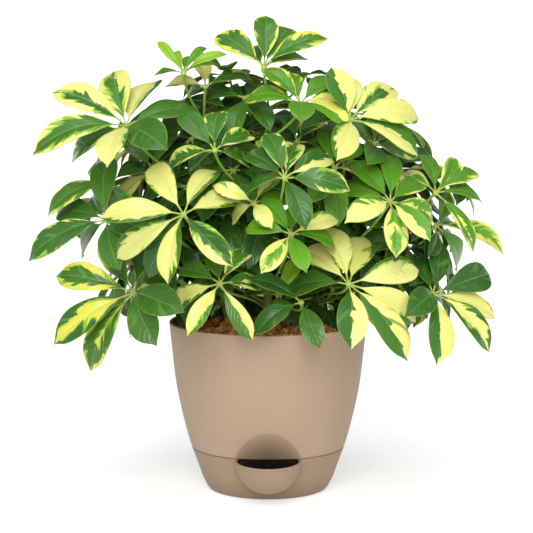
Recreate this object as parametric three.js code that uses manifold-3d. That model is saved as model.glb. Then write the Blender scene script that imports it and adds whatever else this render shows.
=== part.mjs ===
// Potted umbrella plant: variegated leaf whorls on long stalks from four stems, which grow in
// bark and coir soil in a round self-watering pot that stands in its water reservoir.
// Millimetres, +Z up, the viewer of the front looks along +Y. The origin is on the pot's axis,
// where the reservoir stands on the floor.
import * as THREE from "three";
import { mergeVertices } from "three/addons/utils/BufferGeometryUtils.js";
import Module from "manifold-3d";

// Driving dimensions of the pot and its reservoir
const potSides = 32;
const wall = 3;
const seat = 0.3;
const rimRadius = 120;
const rimHeight = 205;
const seamHeight = 52;
const seamRadius = 93.4;
const skirtRadius = 86;
const potFloor = 40;
const wickRadius = 30;
const wickBottom = 6;
const soilHeight = 193;
const spoutRadius = 39;
const spoutWall = 2.5;
const spoutReach = 93;
const panelTop = { y: -101, z: 83 };
const panelFoot = { y: -84.4, z: seamHeight };

// Driving dimensions of the plant
const viewDistance = 2300;
const eyeHeight = 570;
const stemRadius = 4;
const trunkRadius = 5.2;
const stemRoot = 160;
const stemCollar = 207;
const stalkRadius = 1.5;
const hubRadius = 3.4;
const hubHalf = 1.3;
const hubDome = 2.4;
const stemSteps = 6;
const stalkSteps = 3;

// Least distances from a leaflet to others, to stalks, to hubs and, for its own stalk, to sisters
const leafClear = 3.2;
const stalkClear = 2.6;
const hubClear = 3;
const neckClear = 1.4;
const potClear = 4;
const mouthClear = 5;
const soilClear = 12;

// Least turn between two leaflets of a whorl and the range of their lean to its axis, in degrees
const leastTurn = 19;
const leastLean = 35;
const mostLean = 150;

const radians = THREE.MathUtils.degToRad;
const vec = (x, y, z) => new THREE.Vector3(x, y, z);

const wasm = await Module();
wasm.setup();

// Joining and cutting of closed solids
function solid(geometry) {
  const bare = geometry.clone();
  bare.deleteAttribute("normal");
  bare.deleteAttribute("uv");
  const merged = mergeVertices(bare, 1e-4);
  return new wasm.Manifold(
    new wasm.Mesh({
      numProp: 3,
      vertProperties: new Float32Array(merged.attributes.position.array),
      triVerts: new Uint32Array(merged.index.array),
    }),
  );
}

function geometryOf(manifold) {
  const mesh = manifold.getMesh();
  const geometry = new THREE.BufferGeometry();
  geometry.setAttribute("position", new THREE.BufferAttribute(mesh.vertProperties, 3));
  geometry.setIndex(new THREE.BufferAttribute(mesh.triVerts, 1));
  geometry.computeVertexNormals();
  return geometry;
}

// A round solid about the Z axis from its [radius, height] outline
function turned(outline, sides = potSides) {
  const points = outline.map(([r, z]) => new THREE.Vector2(r, z));
  return new THREE.LatheGeometry(points, sides).rotateX(Math.PI / 2);
}

const finish = (color, roughness) =>
  new THREE.MeshStandardMaterial({ color, roughness, metalness: 0 });
const potFinish = finish("#bfa68d", 0.5);
const reservoirFinish = finish("#a38d77", 0.5);
const soilFinish = finish("#4a3220", 0.95);
const stemFinish = finish("#6f8f3a", 0.55);
const leafFinish = finish("#5c9440", 0.35);
const paleLeafFinish = finish("#d9dc8c", 0.35);

const plant = new THREE.Group();
function addNode(name, geometry, material) {
  const mesh = new THREE.Mesh(geometry, material);
  mesh.name = name;
  plant.add(mesh);
}

// Outside of the tapered pot and reservoir, from the floor to the rim
const outside = [
  [70, 0],
  [74, 2.5],
  [79.6, 14],
  [85, 29],
  [90.5, 44],
  [seamRadius, seamHeight],
  [99.5, 73],
  [106.7, 103],
  [112.2, 132],
  [rimRadius, rimHeight - 1.5],
];
function outsideRadius(z) {
  const upper = outside.findIndex((point) => point[1] >= z);
  if (upper < 1) return upper === 0 ? outside[0][0] : rimRadius;
  const [r0, z0] = outside[upper - 1];
  const [r1, z1] = outside[upper];
  return r0 + ((r1 - r0) * (z - z0)) / (z1 - z0);
}

// The flat panel over the spout leans in towards its foot: what lies in front of it
function beforePanel(depth) {
  const lean = Math.atan2(panelFoot.y - panelTop.y, panelTop.z - panelFoot.z);
  const thickness = 60;
  const block = new THREE.BoxGeometry(200, thickness, 110);
  block.translate(0, -thickness / 2 + depth, 25);
  block.rotateX(lean);
  return solid(block.translate(0, panelFoot.y, panelFoot.z));
}

// Growing pot: it rests on the reservoir's edge by a ledge, and its slotted wick leg reaches
// down into the water
function growingPot() {
  const above = outside.filter((point) => point[1] > seamHeight);
  const outline = [
    [0, wickBottom],
    [wickRadius - 6, wickBottom],
    [wickRadius, potFloor],
    [skirtRadius - 4, potFloor],
    [skirtRadius, potFloor + 4],
    [skirtRadius, seamHeight + seat],
    [seamRadius, seamHeight + seat],
    ...above,
    [rimRadius - 1.6, rimHeight],
    [0, rimHeight],
  ];
  const inner = above.map(([r, z]) => [r - wall, z]);
  const inside = [
    [0, wickBottom + wall],
    [wickRadius - 6 - wall, wickBottom + wall],
    [wickRadius - wall, potFloor + wall],
    [skirtRadius - 4 - wall, potFloor + wall],
    [skirtRadius - wall, potFloor + 4 + wall],
    [skirtRadius - wall, seamHeight],
    ...inner,
    [rimRadius - wall, rimHeight + 1],
    [0, rimHeight + 1],
  ];
  const hollow = solid(turned(inside)).subtract(beforePanel(wall));
  let pot = solid(turned(outline)).subtract(beforePanel(0)).subtract(hollow);
  const slots = 4;
  for (let i = 0; i < slots; i += 1) {
    const slot = new THREE.BoxGeometry(16, 4, 18).translate(wickRadius - 5, 0, 24);
    pot = pot.subtract(solid(slot.rotateZ((i * 2 * Math.PI) / slots)));
    const drain = new THREE.CylinderGeometry(3, 3, 8, 6).rotateX(Math.PI / 2);
    drain.translate(58, 0, potFloor + 1).rotateZ(((i + 0.5) * 2 * Math.PI) / slots);
    pot = pot.subtract(solid(drain));
  }
  return pot;
}

// Reservoir: a round tray with the lower half of a ball on its front, open on top, through
// which the water is poured in
function reservoir() {
  const below = outside.filter((point) => point[1] <= seamHeight);
  const outline = [[0, 0], ...below, [0, seamHeight]];
  const inner = below.slice(2).map(([r, z]) => [r - wall, z]);
  const hollow = [
    [0, wall],
    [outsideRadius(wall) - wall, wall],
    ...inner,
    [seamRadius - wall, seamHeight + 1],
    [0, seamHeight + 1],
  ];
  const arcs = 6;
  const bowl = (radius, top) => {
    const arc = [];
    for (let i = 0; i <= arcs; i += 1) {
      const angle = (i * Math.PI) / 2 / arcs;
      arc.push([radius * Math.sin(angle), -radius * Math.cos(angle)]);
    }
    arc[0][0] = 0;
    arc[arcs][1] = 0;
    const ends = top > 0 ? [[radius, top]] : [];
    const shape = turned([...arc, ...ends, [0, top]], 24);
    return solid(shape.translate(0, -spoutReach, seamHeight));
  };
  return solid(turned(outline))
    .add(bowl(spoutRadius, 0))
    .subtract(solid(turned(hollow)))
    .subtract(bowl(spoutRadius - spoutWall, 1));
}

// Seeded random draw, so that the plant is the same each time
function seeded(seed) {
  let state = seed * 7919 + 17;
  return () => {
    state = (state * 16807) % 2147483647;
    return state / 2147483647;
  };
}

// Stems, as the points that they pass through from inside their thick foot, which stands
// upright in the soil. The middle one is thick up to its fork.
const forkHeight = 278;
const stems = [
  {
    name: "stem_middle",
    points: [[1, -12, 201], [-2, -14, forkHeight], [-8, -28, 350], [-12, -22, 425]],
  },
  { name: "stem_left", points: [[-48, 32, 201], [-68, 40, 290], [-82, 42, 380], [-78, 34, 450]] },
  { name: "stem_right", points: [[50, 28, 201], [76, 33, 290], [92, 34, 370], [84, 28, 425]] },
  { name: "stem_back", points: [[5, 66, 201], [12, 88, 300], [8, 82, 400], [-4, 60, 465]] },
];
for (const stem of stems) {
  stem.curve = new THREE.CatmullRomCurve3(stem.points.map((point) => vec(...point)));
}

// Whorls seen from the front. at: place [x, z] as it looks from the front, 2.3 m away, and depth
// towards the viewer. facing: turn to the right and rise of the whorl's axis, in degrees.
// tips: where each leaflet's tip looks to be from the hub. length: hub to tip, in true size.
const seen = [
  {
    stem: 0, at: [-102, 333], depth: 150, facing: [-15, 30], length: 90,
    tips: [[64, 14], [36, 46], [-40, 53], [-94, -4], [-86, -42], [-56, -60], [-16, -71], [56, -53]],
  },
  {
    stem: 0, at: [20, 377], depth: 160, facing: [5, 40], length: 74,
    tips: [[-44, 25], [-20, 41], [14, 36], [55, 19], [74, -13], [23, -53], [-34, -24]],
  },
  {
    stem: 2, at: [98, 248], depth: 140, facing: [10, 30], length: 95,
    tips: [[-26, 61], [-47, 33], [26, 55], [84, 12], [79, -47], [59, -92], [1, -69], [-56, -31]],
  },
  {
    stem: 2, at: [147, 349], depth: 110, facing: [15, 35], length: 75,
    tips: [[2, 52], [-41, 44], [-48, 30], [-53, -18], [5, -58], [41, -52], [55, -26], [41, 18]],
  },
  {
    stem: 0, at: [28, 309], depth: 150, facing: [5, 40], length: 62,
    tips: [[-53, 3], [-32, 33], [2, 24], [55, 15], [47, -19], [16, -36], [-34, -40]],
  },
  {
    stem: 0, at: [-58, 249], depth: 140, facing: [-5, 30], length: 74,
    tips: [[-50, 9], [-10, 33], [32, 26], [46, -11], [37, -62], [-36, -55], [-54, -33]],
  },
  {
    stem: 1, at: [-170, 440], depth: 60, facing: [-25, 45], length: 100,
    tips: [[-89, 39], [-22, 70], [33, 52], [83, 17], [51, -21], [-13, -50], [-70, -38], [-113, -17]],
  },
  {
    stem: 0, at: [-5, 511], depth: 30, facing: [0, 45], length: 84,
    tips: [[-58, 38], [-44, 12], [-15, 67], [17, 58], [76, 34], [66, -4], [34, -22]],
  },
  {
    stem: 0, at: [39, 467], depth: 70, facing: [5, 50], length: 74,
    tips: [[-23, 39], [43, 28], [-53, 25], [-63, 6], [66, -2], [54, -32], [-1, -26]],
  },
  {
    stem: 2, at: [98, 447], depth: 100, facing: [15, 40], length: 88,
    tips: [[-1, 65], [56, 36], [83, 1], [84, -34], [-17, -40], [-60, -2], [-46, 44]],
  },
  {
    stem: 0, at: [-64, 411], depth: 110, facing: [-5, 40], length: 70,
    tips: [[4, 43], [-40, 30], [44, 14], [34, -17], [-23, -30], [-56, -18], [-64, -3]],
  },
  {
    stem: 1, at: [-163, 238], depth: 95, facing: [-30, 25], length: 100,
    tips: [[-94, 16], [-35, 69], [36, 64], [61, -10], [30, -60], [-52, -92], [-94, -60]],
  },
  {
    stem: 2, at: [200, 237], depth: 65, facing: [35, 30], length: 92,
    tips: [[12, 58], [-12, 44], [74, 17], [84, -28], [61, -74], [2, -74], [-37, -13]],
  },
  {
    stem: 2, at: [202, 360], depth: 55, facing: [40, 40], length: 78,
    tips: [[-10, 43], [-38, 27], [31, 37], [47, 7], [59, -9], [47, -69], [15, -36], [-14, -1]],
  },
  {
    stem: 1, at: [-194, 327], depth: 60, facing: [-40, 35], length: 92,
    tips: [[-66, 4], [-94, -47], [-35, -44], [-29, 31], [20, 40], [50, -5], [20, -50]],
  },
  {
    stem: 0, at: [-17, 347], depth: 116, facing: [-5, 36], length: 52,
    tips: [[-18, 38], [31, 34], [49, -2], [-46, 14], [-31, -18], [20, -24]],
  },
  {
    stem: 1, at: [-101, 504], depth: 30, facing: [0, 50], length: 54,
    tips: [[-32, 38], [-29, 21], [-31, -1], [2, 26], [10, 30], [52, 23], [46, 8]],
  },
  {
    stem: 1, at: [-75, 488], depth: 10, facing: [10, 60], length: 66,
    tips: [[-8, 26], [26, 38], [56, 9], [17, -14], [-16, -16], [-50, 0], [-67, -11]],
  },
  {
    stem: 1, at: [-190, 374], depth: 30, facing: [-50, 35], length: 88,
    tips: [[-85, -25], [-28, 27], [-5, 28], [45, 10], [30, -40], [-20, -55]],
  },
  {
    stem: 0, at: [80, 390], depth: 85, facing: [10, 40], length: 72,
    tips: [[55, 5], [40, -30], [-10, 45], [30, 40], [-45, 10], [-30, -35], [5, -55]],
  },
  {
    stem: 2, at: [127, 417], depth: 30, facing: [20, 40], length: 80,
    tips: [[-28, 25], [1, 20], [49, -6], [40, 30], [78, -20], [-20, -40], [-50, -5]],
  },
  {
    stem: 0, at: [35, 421], depth: 45, facing: [0, 45], length: 78,
    tips: [[30, 21], [-8, 30], [-70, 0], [60, -20], [15, -50], [-40, -35]],
  },
  {
    stem: 3, at: [-27, 474], depth: 0, facing: [-5, 45], length: 74,
    tips: [[-16, -45], [30, -35], [50, 5], [20, 35], [-30, 30], [-55, -5]],
  },
  {
    stem: 1, at: [-138, 388], depth: 0, facing: [-20, 30], length: 74,
    tips: [[-50, -50], [-13, -31], [35, -17], [-40, 25], [5, 38], [45, 20]],
  },
  {
    stem: 2, at: [203, 321], depth: 10, facing: [60, 35], length: 88,
    tips: [[83, -34], [26, -4], [24, -31], [20, 40], [50, 10], [30, -60], [-11, -6]],
  },
  {
    stem: 0, at: [13, 234], depth: 75, facing: [0, 50], length: 56,
    tips: [[19, 53], [28, 13], [-25, 30], [-35, -5], [5, -20]],
  },
  {
    stem: 0, at: [40, 226], depth: 122, facing: [-10, 45], length: 66,
    tips: [[-53, -34], [-44, 10], [-20, 30], [20, -45]],
  },
];

// Whorls at the back, the sides and the inside of the crown, with their true places [x, y, z]
const hidden = [
  { stem: 1, at: [-172, 62, 262], count: 8, length: 92 },
  { stem: 1, at: [-105, 148, 252], count: 8, length: 90 },
  { stem: 3, at: [0, 172, 262], count: 7, length: 92 },
  { stem: 3, at: [104, 150, 250], count: 7, length: 86 },
  { stem: 2, at: [178, 68, 258], count: 8, length: 90 },
  { stem: 1, at: [-212, 52, 352], count: 7, length: 84 },
  { stem: 1, at: [-150, 132, 345], count: 7, length: 88 },
  { stem: 3, at: [-52, 182, 350], count: 8, length: 86 },
  { stem: 3, at: [62, 178, 345], count: 7, length: 90 },
  { stem: 2, at: [150, 122, 352], count: 8, length: 88 },
  { stem: 2, at: [212, 46, 388], count: 7, length: 80 },
  { stem: 1, at: [-132, 92, 432], count: 8, length: 84 },
  { stem: 3, at: [-44, 142, 436], count: 7, length: 86 },
  { stem: 3, at: [66, 132, 440], count: 8, length: 84 },
  { stem: 2, at: [138, 76, 440], count: 8, length: 80 },
  { stem: 3, at: [-48, 62, 500], count: 7, length: 70 },
  { stem: 3, at: [44, 54, 500], count: 7, length: 74 },
  { stem: 1, at: [-62, 8, 398], count: 7, length: 80 },
  { stem: 1, at: [-112, 24, 304], count: 7, length: 80 },
  { stem: 2, at: [62, -12, 338], count: 7, length: 74 },
  { stem: 2, at: [134, 8, 322], count: 7, length: 80 },
  { stem: 0, at: [-34, -52, 300], count: 6, length: 66 },
  { stem: 3, at: [28, 62, 398], count: 7, length: 80 },
  { stem: 1, at: [-150, -6, 262], count: 7, length: 80 },
  { stem: 2, at: [120, 62, 300], count: 7, length: 80 },
];

// The direction towards which a whorl faces, from its turn to the right and its rise
function facingOf(turn, rise) {
  const level = Math.cos(radians(rise));
  const [right, ahead] = [Math.sin(radians(turn)), Math.cos(radians(turn))];
  return vec(right * level, -ahead * level, Math.sin(radians(rise)));
}

// A seen whorl: hub moved along the line of sight to its depth, and each leaflet laid so deep
// that it has the whorl's length and droops a little from the whorl's plane
const droop = Math.cos(radians(105));
function placeSeen(row) {
  const share = 1 - row.depth / viewDistance;
  const hub = vec(row.at[0] * share, -row.depth, eyeHeight + (row.at[1] - eyeHeight) * share);
  const axis = facingOf(...row.facing);
  const chords = row.tips.map(([right, up]) => {
    const deep = Math.sqrt(Math.max(row.length ** 2 - right ** 2 - up ** 2, 0));
    const near = vec(right, -deep, up);
    const far = vec(right, deep, up);
    const miss = (chord) => Math.abs(chord.dot(axis) / chord.length() - droop);
    return miss(near) < miss(far) ? near : far;
  });
  return { stem: row.stem, hub, axis, chords, isSeen: true };
}

// A hidden whorl: it faces outwards and up, with its leaflets spread evenly and drooping
function placeHidden(row, index) {
  const random = seeded(index + 1);
  const hub = vec(...row.at);
  const away = vec(hub.x, hub.y, 0).normalize();
  const rise = radians(35 + (40 * (row.at[2] - 250)) / 250);
  const axis = away.multiplyScalar(Math.cos(rise)).setZ(Math.sin(rise));
  const across = vec(0, 0, 1).cross(axis).normalize();
  const over = axis.clone().cross(across);
  const start = random() * 2 * Math.PI;
  const chords = [];
  for (let i = 0; i < row.count; i += 1) {
    const angle = start + ((i + 0.3 * (random() - 0.5)) * 2 * Math.PI) / row.count;
    const fall = radians(8 + 18 * random());
    const length = row.length * (0.84 + 0.2 * random());
    const chord = across.clone().multiplyScalar(Math.cos(angle));
    chord.addScaledVector(over, Math.sin(angle)).multiplyScalar(Math.cos(fall));
    chords.push(chord.addScaledVector(axis, -Math.sin(fall)).multiplyScalar(length));
  }
  return { stem: row.stem, hub, axis, chords, isSeen: false };
}

const whorls = [...seen.map(placeSeen), ...hidden.map(placeHidden)];

// Leaf stalk: it leaves the stem upwards and outwards and meets the hub from below
function stalkOf(whorl) {
  const { curve } = stems[whorl.stem];
  const end = whorl.hub.clone().addScaledVector(whorl.axis, -hubHalf - seat);
  const top = curve.getPointAt(1);
  const beside = curve.getPointAt(0.7);
  const reach = Math.hypot(end.x - beside.x, end.y - beside.y);
  const height = THREE.MathUtils.clamp(end.z - 0.55 * reach - 20, stemCollar + 8, top.z - 6);
  let share = 0;
  while (share < 1 && curve.getPointAt(share).z < height) share += 0.01;
  const start = curve.getPointAt(Math.min(share, 1));
  const span = start.distanceTo(end);
  const leave = end.clone().sub(start).setZ(0).normalize().multiplyScalar(0.35 * span);
  leave.z = 0.22 * span;
  return new THREE.CubicBezierCurve3(
    start,
    start.clone().add(leave),
    end.clone().addScaledVector(whorl.axis, -0.3 * span),
    end,
  );
}
for (const whorl of whorls) whorl.stalk = stalkOf(whorl);

// Leaflet: a stalk of its own, then a pointed oval blade, folded up along the midrib and arched.
// Each ring holds left edge, upper midrib, right edge and lower midrib.
const bladeRings = [
  { at: 0.2, half: 1.2, upper: 0.9, lower: 0.9, fold: 0 },
  { at: 0.46, half: 0.19, upper: 0.5, lower: 1.1, fold: 16 },
  { at: 0.75, half: 0.18, upper: 0.5, lower: 1, fold: 14 },
];
function leaflet(hub, axis, chord, { arch, twist, width }) {
  const length = chord.length();
  const along = chord.clone().normalize();
  const up = axis.clone().addScaledVector(along, -axis.dot(along)).normalize();
  up.applyAxisAngle(along, radians(twist));
  const side = up.clone().cross(along);
  const rings = bladeRings.map((ring) => {
    const lift = arch * length * 4 * ring.at * (1 - ring.at);
    const middle = hub.clone().addScaledVector(chord, ring.at).addScaledVector(up, lift);
    const half = ring.half < 1 ? ring.half * length * width : ring.half;
    const out = half * Math.cos(radians(ring.fold));
    const raise = half * Math.sin(radians(ring.fold));
    return [
      middle.clone().addScaledVector(side, out).addScaledVector(up, raise),
      middle.clone().addScaledVector(up, ring.upper),
      middle.clone().addScaledVector(side, -out).addScaledVector(up, raise),
      middle.clone().addScaledVector(up, -ring.lower),
    ];
  });
  const tip = hub.clone().add(chord);
  const neckEnd = rings[0][1];
  const neck = [0.5, 0.75, 1].map((share) => hub.clone().lerp(neckEnd, share));
  return { rings, tip, neck, middle: hub.clone().addScaledVector(chord, 0.6) };
}

// Upper face of a blade as triangles, and points along its edges, midrib and ribs
const sampleStep = 6;
function surfaceOf(blade) {
  const { rings, tip } = blade;
  blade.faces = [];
  for (let r = 0; r + 1 < rings.length; r += 1) {
    for (const i of [0, 1]) {
      const [a, b] = [rings[r][i], rings[r][i + 1]];
      const [c, d] = [rings[r + 1][i + 1], rings[r + 1][i]];
      blade.faces.push(new THREE.Triangle(a, b, c), new THREE.Triangle(a, c, d));
    }
  }
  const last = rings.at(-1);
  blade.faces.push(new THREE.Triangle(last[0], last[1], tip));
  blade.faces.push(new THREE.Triangle(last[1], last[2], tip));
  const lines = [0, 1, 2].map((i) => [...rings.map((ring) => ring[i]), tip]);
  for (const ring of rings.slice(1)) lines.push([ring[0], ring[1], ring[2]]);
  blade.samples = [];
  for (const line of lines) {
    for (let i = 0; i + 1 < line.length; i += 1) {
      const steps = Math.ceil(line[i].distanceTo(line[i + 1]) / sampleStep);
      for (let s = 0; s < steps; s += 1) {
        blade.samples.push(line[i].clone().lerp(line[i + 1], s / steps));
      }
    }
  }
  blade.samples.push(tip);
  blade.reach = Math.max(...blade.samples.map((point) => point.distanceTo(blade.middle)));
  return blade;
}

// Points of all stems and stalks, which the leaflets are bent clear of
const woodyStep = 4;
const hubNear = 16;
const woody = [];
function alongTube(curve, steps) {
  const bends = curve.getSpacedPoints(steps);
  return bends.slice(1).flatMap((bend, i) => {
    const parts = Math.ceil(bend.distanceTo(bends[i]) / woodyStep);
    return Array.from({ length: parts + 1 }, (_, k) => bends[i].clone().lerp(bend, k / parts));
  });
}
for (const { curve } of stems) {
  for (const point of alongTube(curve, stemSteps)) woody.push({ point, clear: stemRadius + 2 });
}
for (const [index, { hub, stalk }] of whorls.entries()) {
  woody.push({ point: hub, clear: hubRadius + hubClear, index });
  for (const point of alongTube(stalk, stalkSteps)) woody.push({ point, clear: stalkClear, index });
}

const nearest = new THREE.Vector3();
function apart(samples, faces, clear) {
  return samples.every((point) =>
    faces.every(
      (face) => face.closestPointToPoint(point, nearest).distanceToSquared(point) > clear ** 2,
    ),
  );
}
function clearOfPot(point) {
  const radius = Math.hypot(point.x, point.y);
  if (point.z > rimHeight + potClear) return true;
  if (radius > outsideRadius(point.z) + potClear) return true;
  return radius < rimRadius - wall - mouthClear && point.z > soilHeight + soilClear;
}
const placed = [];
function isClear(blade, whorl, index) {
  if (!blade.samples.every(clearOfPot)) return false;
  for (const { point, clear, index: owner } of woody) {
    if (point.distanceTo(blade.middle) > blade.reach + clear) continue;
    if (owner === index && point.distanceTo(whorl.hub) < hubNear) continue;
    if (owner !== index && blade.neck.some((near) => near.distanceTo(point) < clear)) return false;
    if (!apart([point], blade.faces, clear)) return false;
  }
  for (const other of placed) {
    if (other.middle.distanceTo(blade.middle) > other.reach + blade.reach + leafClear) continue;
    if (!apart(blade.samples, other.faces, leafClear)) return false;
    if (!apart(other.samples, blade.faces, leafClear)) return false;
    const sisters = other.index === index;
    if (sisters && turnBetween(whorl, blade.tip, other.tip) < radians(leastTurn)) return false;
    const clear = sisters ? neckClear : stalkClear;
    if (!apart(blade.neck, other.faces, clear)) return false;
    if (!apart(other.neck, blade.faces, clear)) return false;
  }
  return true;
}

// Angle between two leaflets round their whorl's axis
function turnBetween({ hub, axis }, ...tips) {
  const [one, other] = tips.map((tip) => tip.clone().sub(hub).projectOnPlane(axis));
  return one.angleTo(other);
}

// Each leaflet is lifted, lowered, swung round the hub or shortened until it is clear of all
// that is placed already. One that finds no room is left out.
const lifts = [0, -7, 7, -14, 14, -21, 21, -28, 28, -36, 36];
const swings = [0, 6, -6, 12, -12, 18, -18];
const shares = [1, 0.88, 0.76];
function placeLeaflet(whorl, index, chord, random) {
  const form = {
    arch: 0.07 + 0.07 * random(),
    twist: 24 * (random() - 0.5),
    width: 0.92 + 0.18 * random(),
  };
  const along = chord.clone().normalize();
  const across = whorl.axis.clone().cross(along).normalize();
  for (const share of shares) {
    for (const swing of swings) {
      for (const lift of lifts) {
        const bent = chord.clone().multiplyScalar(share);
        bent.applyAxisAngle(across, radians(lift)).applyAxisAngle(whorl.axis, radians(swing));
        const lean = bent.angleTo(whorl.axis);
        if (lean < radians(leastLean) || lean > radians(mostLean)) continue;
        const blade = surfaceOf(leaflet(whorl.hub, whorl.axis, bent, form));
        if (isClear(blade, whorl, index)) {
          placed.push({ ...blade, index });
          return blade;
        }
      }
    }
  }
  return null;
}

// Closed mesh from a list of corner triples
function closedMesh(triples) {
  const corners = triples.flat();
  const positions = new Float32Array(corners.flatMap((point) => point.toArray()));
  const geometry = new THREE.BufferGeometry();
  geometry.setAttribute("position", new THREE.BufferAttribute(positions, 3));
  return mergeVertices(geometry, 1e-4);
}

// One whorl: a small many-sided hub, with a leaflet growing from a side of it for each blade
const sideTurn = radians(20);
const bareTurn = radians(60);
function whorlMesh({ hub, axis }, blades) {
  const across = Math.abs(axis.z) > 0.9 ? vec(1, 0, 0) : vec(0, 0, 1).cross(axis).normalize();
  const over = axis.clone().cross(across).normalize();
  across.copy(over).cross(axis);
  const sorted = blades.map((blade) => {
    const out = blade.tip.clone().sub(hub);
    return { blade, turn: Math.atan2(out.dot(over), out.dot(across)) };
  });
  sorted.sort((a, b) => a.turn - b.turn);
  const gapAfter = (i) => {
    const next = sorted[(i + 1) % sorted.length];
    return next.turn - sorted[i].turn + (i + 1 < sorted.length ? 0 : 2 * Math.PI);
  };
  const corner = (turn, height) =>
    hub
      .clone()
      .addScaledVector(across, hubRadius * Math.cos(turn))
      .addScaledVector(over, hubRadius * Math.sin(turn))
      .addScaledVector(axis, height);
  const top = hub.clone().addScaledVector(axis, hubDome);
  const bottom = hub.clone().addScaledVector(axis, -hubHalf);
  const triples = [];
  const face = (from, to) => {
    triples.push([corner(from, hubHalf), corner(to, hubHalf), top]);
    triples.push([corner(to, -hubHalf), corner(from, -hubHalf), bottom]);
  };
  sorted.forEach(({ blade, turn }, i) => {
    const before = gapAfter((i + sorted.length - 1) % sorted.length);
    const from = turn - Math.min(before / 2, sideTurn);
    const to = turn + Math.min(gapAfter(i) / 2, sideTurn);
    face(from, to);
    const heights = [-hubHalf, hubHalf, hubHalf, -hubHalf];
    const root = [to, to, from, from].map((side, k) => corner(side, heights[k]));
    const rings = [root, ...blade.rings];
    for (let r = 0; r + 1 < rings.length; r += 1) {
      for (let k = 0; k < 4; k += 1) {
        const [a, b] = [rings[r][k], rings[r][(k + 1) % 4]];
        const [c, d] = [rings[r + 1][(k + 1) % 4], rings[r + 1][k]];
        triples.push([a, b, c], [a, c, d]);
      }
    }
    const last = rings.at(-1);
    for (let k = 0; k < 4; k += 1) triples.push([last[k], last[(k + 1) % 4], blade.tip]);
    const bare = gapAfter(i) - 2 * sideTurn;
    const sides = bare > 1e-6 ? Math.ceil(bare / bareTurn) : 0;
    for (let k = 0; k < sides; k += 1) {
      const a = to + (bare * k) / sides;
      const b = to + (bare * (k + 1)) / sides;
      face(a, b);
      triples.push([corner(a, -hubHalf), corner(b, -hubHalf), corner(b, hubHalf)]);
      triples.push([corner(a, -hubHalf), corner(b, hubHalf), corner(a, hubHalf)]);
    }
  });
  return closedMesh(triples);
}

// A round stalk or stem along a curve
function tube(curve, radius, sides, steps) {
  const section = new THREE.Shape();
  for (let i = 0; i < sides; i += 1) {
    const angle = (i * 2 * Math.PI) / sides;
    const [x, y] = [radius * Math.cos(angle), radius * Math.sin(angle)];
    if (i === 0) section.moveTo(x, y);
    else section.lineTo(x, y);
  }
  section.closePath();
  return solid(new THREE.ExtrudeGeometry(section, { steps, extrudePath: curve, curveSegments: 1 }));
}

// The straight foot of a stem, or the hole for it, longer at both ends
function stemFoot(stem, radius, longer) {
  const [x, y] = stem.points[0];
  const height = stemCollar - stemRoot + 2 * longer;
  const foot = new THREE.CylinderGeometry(radius, radius, height, 8).rotateX(Math.PI / 2);
  return solid(foot.translate(x, y, (stemCollar + stemRoot) / 2));
}

// A stem with its thick lower trunk and every leaf stalk that grows from it
function stemSolid(stem, index) {
  let whole = tube(stem.curve, stemRadius, 6, stemSteps).add(stemFoot(stem, trunkRadius, 0));
  if (index === 0) {
    const [foot, fork] = stem.points;
    whole = whole.add(tube(new THREE.LineCurve3(vec(...foot), vec(...fork)), trunkRadius, 6, 1));
  }
  for (const whorl of whorls) {
    if (whorl.stem === index) whole = whole.add(tube(whorl.stalk, stalkRadius, 3, stalkSteps));
  }
  return whole;
}

// Soil: it fills the pot and its wick leg, heaped a little and lumpy, with a hole for each stem
function soilSolid() {
  const rings = 6;
  const topRadius = rimRadius - wall - 3;
  const block = [
    [0, wickBottom + wall + seat],
    [wickRadius - 6 - wall - seat, wickBottom + wall + seat],
    [wickRadius - wall - seat, potFloor + wall + 1],
    [skirtRadius - 4 - wall - 1, potFloor + wall + seat],
    [skirtRadius - wall - seat, potFloor + 4 + wall + seat],
    [skirtRadius - wall - seat, seamHeight],
    ...outside.filter(([, z]) => z > seamHeight && z < 140).map(([r, z]) => [r - wall - seat, z]),
    [outsideRadius(soilHeight - 8) - wall - seat, soilHeight - 8],
  ];
  for (let i = 0; i <= rings; i += 1) {
    const radius = topRadius * (1 - i / rings);
    block.push([radius, soilHeight + 6 * (1 - (radius / topRadius) ** 2)]);
  }
  const bare = turned(block);
  bare.deleteAttribute("normal");
  bare.deleteAttribute("uv");
  const shape = mergeVertices(bare, 1e-3);
  const place = shape.attributes.position;
  for (let i = 0; i < place.count; i += 1) {
    const [x, y, z] = [place.getX(i), place.getY(i), place.getZ(i)];
    if (z > soilHeight + 0.5 && Math.hypot(x, y) > 1) {
      const lump = Math.sin(x * 0.31 + 1.7 * Math.sin(y * 0.23)) + Math.sin(y * 0.37 + x * 0.11);
      place.setZ(i, z + 1.6 * lump);
    }
  }
  let soil = solid(shape).subtract(beforePanel(wall + seat));
  for (const stem of stems) soil = soil.subtract(stemFoot(stem, trunkRadius + seat, seat));
  return soil;
}

addNode("pot", geometryOf(growingPot()), potFinish);
addNode("reservoir", geometryOf(reservoir()), reservoirFinish);
addNode("soil", geometryOf(soilSolid()), soilFinish);
stems.forEach((stem, index) => addNode(stem.name, geometryOf(stemSolid(stem, index)), stemFinish));
whorls.forEach((whorl, index) => {
  const random = seeded(index + 101);
  const blades = whorl.chords.map((chord) => placeLeaflet(whorl, index, chord, random));
  const grown = blades.filter((blade) => blade !== null);
  const number = String(index + 1).padStart(2, "0");
  addNode(`leaf_${number}`, whorlMesh(whorl, grown), index % 3 ? leafFinish : paleLeafFinish);
});

export default plant;
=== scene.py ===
import math
import random

import bpy
import numpy as np
from mathutils import Matrix, Vector, noise
from mathutils.bvhtree import BVHTree
from numpy.linalg import norm


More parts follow.
